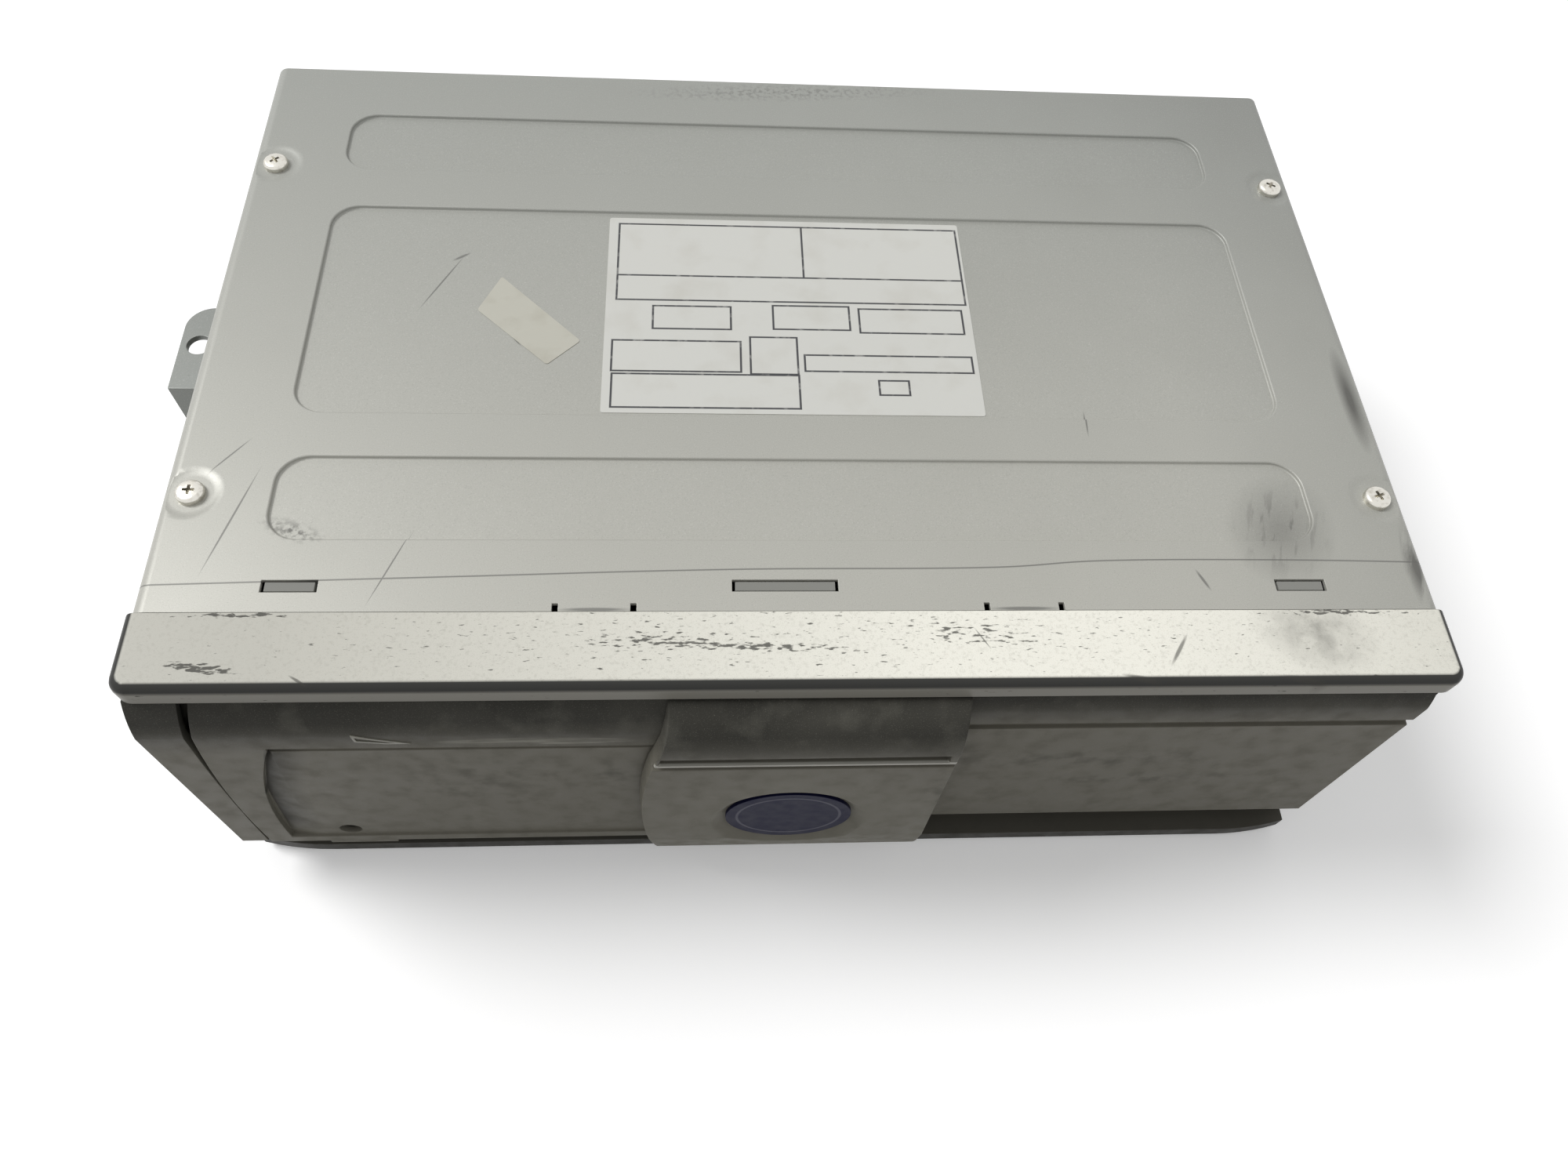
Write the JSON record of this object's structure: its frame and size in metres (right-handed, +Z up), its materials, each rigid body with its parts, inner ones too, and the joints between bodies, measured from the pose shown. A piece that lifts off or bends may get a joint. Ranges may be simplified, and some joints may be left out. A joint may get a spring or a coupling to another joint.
{
  "type": "car cd changer",
  "caption": "Car disc changer: flat steel case, plastic front with a sliding door over a removable magazine, and a lifting deck that plays the chosen disc.",
  "frame": {"origin": "middle of the chassis' bottom face", "axes": "+X to the right along the case's width, +Y to the rear, +Z up"},
  "size_m": [0.2728, 0.1935, 0.09],
  "materials": {
    "cover_paint": "fine metallic silver, satin",
    "zinc_steel": "zinc plated, dull",
    "bracket_steel": "zinc plated, dull",
    "turned_steel": "ground",
    "motor_can": "plated, satin",
    "brow_plastic": "silver paint, satin",
    "front_plastic": "warm grey silver paint, satin",
    "badge_blue": "dark blue, glossy",
    "button_plastic": "satin",
    "black_plastic": "satin",
    "magazine_plastic": "fine grain",
    "tray_plastic": "satin",
    "white_nylon": "waxy",
    "circuit_board": "solder mask, satin",
    "lens_glass": "clear",
    "jack_white": "satin",
    "jack_red": "satin"
  },
  "bodies": {
    "case": {"chassis_base": "zinc_steel", "top_cover": "cover_paint", "rear_panel": "zinc_steel", "side_bracket": "bracket_steel", "front_bezel": "brow_plastic", "fixed_panel": "front_plastic", "magazine_cage": "zinc_steel", "switch_board": "circuit_board", "main_board": "circuit_board", "bus_socket": "black_plastic", "audio_jack_left": "jack_white", "audio_jack_right": "jack_red", "guide_rod_1": "turned_steel", "guide_rod_2": "turned_steel", "guide_rod_3": "turned_steel", "top_frame": "zinc_steel", "lift_bridge": "zinc_steel", "lift_motor": "motor_can"},
    "door": {"sliding_door": "front_plastic", "door_handle": "front_plastic", "handle_badge": "badge_blue"},
    "eject_button": {"eject_button": "button_plastic"},
    "magazine": {"magazine_shell": "magazine_plastic", "disc_tray_01": "tray_plastic", "disc_tray_02": "tray_plastic", "disc_tray_03": "tray_plastic", "disc_tray_04": "tray_plastic", "disc_tray_05": "tray_plastic", "disc_tray_06": "tray_plastic", "disc_tray_07": "tray_plastic", "disc_tray_08": "tray_plastic", "disc_tray_09": "tray_plastic", "disc_tray_10": "tray_plastic"},
    "lift": {"lift_deck": "zinc_steel", "spindle_motor": "motor_can", "sled_rod_left": "turned_steel", "sled_rod_right": "turned_steel", "sled_motor": "motor_can", "load_rod": "turned_steel"},
    "lead_screw": {"lift_screw": "turned_steel", "lift_gear": "white_nylon"},
    "pinion": {"lift_pinion": "white_nylon"},
    "turntable": {"turntable": "black_plastic"},
    "clamp": {"clamp_arm": "zinc_steel", "clamper": "black_plastic"},
    "pickup": {"optical_pickup": "black_plastic", "pickup_lens": "lens_glass"},
    "sled_drive": {"sled_screw": "turned_steel"},
    "loader": {"load_carriage": "white_nylon"}
  },
  "joints": [
    {"name": "door_slide", "type": "slide", "parent": "case", "child": "door", "axis": [1, 0, 0], "range_m": [0, 0.133]},
    {"name": "eject_press", "type": "slide", "parent": "case", "child": "eject_button", "axis": [0, 1, 0], "range_m": [0, 0.003], "stiffness_N_per_m": 200},
    {"name": "magazine_eject", "type": "slide", "parent": "case", "child": "magazine", "axis": [0, -1, 0], "range_m": [0, 0.013]},
    {"name": "lift_travel", "type": "slide", "parent": "case", "child": "lift", "axis": [0, 0, 1], "range_m": [0, 0.0459]},
    {"name": "lead_screw_turn", "type": "hinge", "parent": "case", "child": "lead_screw", "pos_m": [0.02, 0.066, 0.04], "axis": [0, 0, 1], "range_deg": [-1080.5, 0]},
    {"name": "pinion_turn", "type": "hinge", "parent": "case", "child": "pinion", "pos_m": [0.0344, 0.066, 0.0797], "axis": [0, 0, 1], "range_deg": [0, 2161]},
    {"name": "turntable_spin", "type": "hinge", "parent": "lift", "child": "turntable", "pos_m": [0.066, -0.012, 0.015], "axis": [0, 0, 1], "continuous": true},
    {"name": "clamp_lift", "type": "hinge", "parent": "lift", "child": "clamp", "pos_m": [0.066, 0.053, 0.0245], "axis": [-1, 0, 0], "range_deg": [0, 7]},
    {"name": "sled_travel", "type": "slide", "parent": "lift", "child": "pickup", "axis": [0, 1, 0], "range_m": [0, 0.034]},
    {"name": "sled_screw_turn", "type": "hinge", "parent": "lift", "child": "sled_drive", "pos_m": [0.0868, 0.02, 0.0096], "axis": [0, 1, 0], "range_deg": [-1800.5, 0]},
    {"name": "load_travel", "type": "slide", "parent": "lift", "child": "loader", "axis": [1, 0, 0], "range_m": [0, 0.068]}
  ],
  "couplings": [
    {"joint": "lead_screw_turn", "follows": "lift_travel", "rad_per_m": -410.67},
    {"joint": "pinion_turn", "follows": "lift_travel", "rad_per_m": 821.33},
    {"joint": "sled_screw_turn", "follows": "sled_travel", "rad_per_m": -924}
  ]
}
